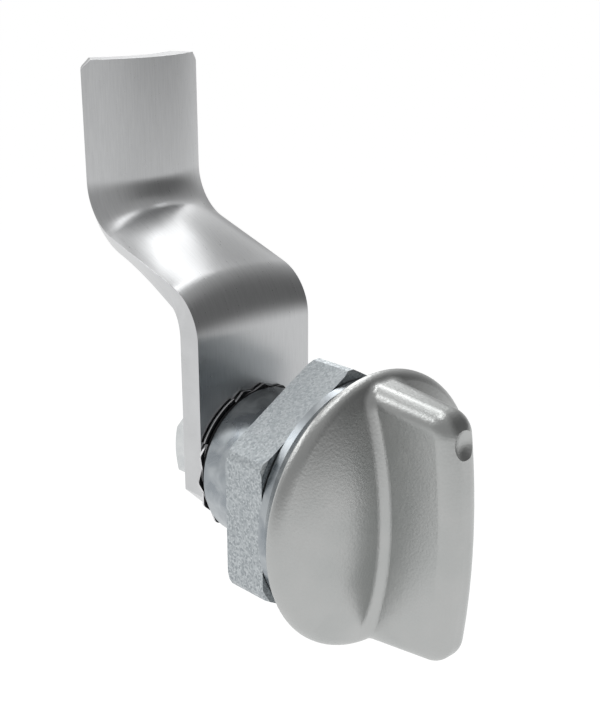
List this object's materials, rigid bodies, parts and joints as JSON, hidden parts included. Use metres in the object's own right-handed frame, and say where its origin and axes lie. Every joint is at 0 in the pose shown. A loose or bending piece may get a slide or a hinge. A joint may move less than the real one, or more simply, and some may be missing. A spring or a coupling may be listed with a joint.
{
  "type": "quarter-turn cam latch",
  "caption": "Quarter-turn cam latch: a wing knob turns a cranked, crowned cam behind a panel, clamped through a round hole between a flange and a hexagon nut.",
  "frame": {"origin": "on the turning axis, in the plane where the flange seats on the front of the panel", "axes": "+Y along the turning axis, from the knob through the panel to the cam; +Z along the cam at rest; +X to the right seen from the knob"},
  "size_m": [0.032, 0.0558, 0.0627],
  "materials": {
    "blasted_metal": "cast and bead-blasted, satin",
    "plated_housing": "smooth bright zinc plate",
    "galvanised_nut": "galvanised, spangled",
    "cam_steel": "pressed strip, satin polished",
    "plated_steel": "zinc plated",
    "black_spring_steel": "black oxide with bright edges",
    "seal_rubber": "moulded, matte"
  },
  "bodies": {
    "housing": {"housing": "plated_housing", "knob_seal": "seal_rubber", "panel_gasket": "seal_rubber", "hex_nut": "galvanised_nut", "thrust_washer": "plated_steel"},
    "rotor": {"wing_knob": "blasted_metal", "spindle_seal_1": "seal_rubber", "spindle_seal_2": "seal_rubber", "wave_spring": "plated_steel", "retaining_ring": "black_spring_steel", "stop_disc": "plated_steel", "toothed_washer": "black_spring_steel", "cam": "cam_steel", "plain_washer": "plated_steel", "spring_washer": "plated_steel", "hex_screw": "plated_steel"}
  },
  "joints": [
    {"name": "quarter_turn", "type": "hinge", "parent": "housing", "child": "rotor", "pos_m": [0, 0, 0], "axis": [0, 1, 0], "range_deg": [0, 90]}
  ]
}
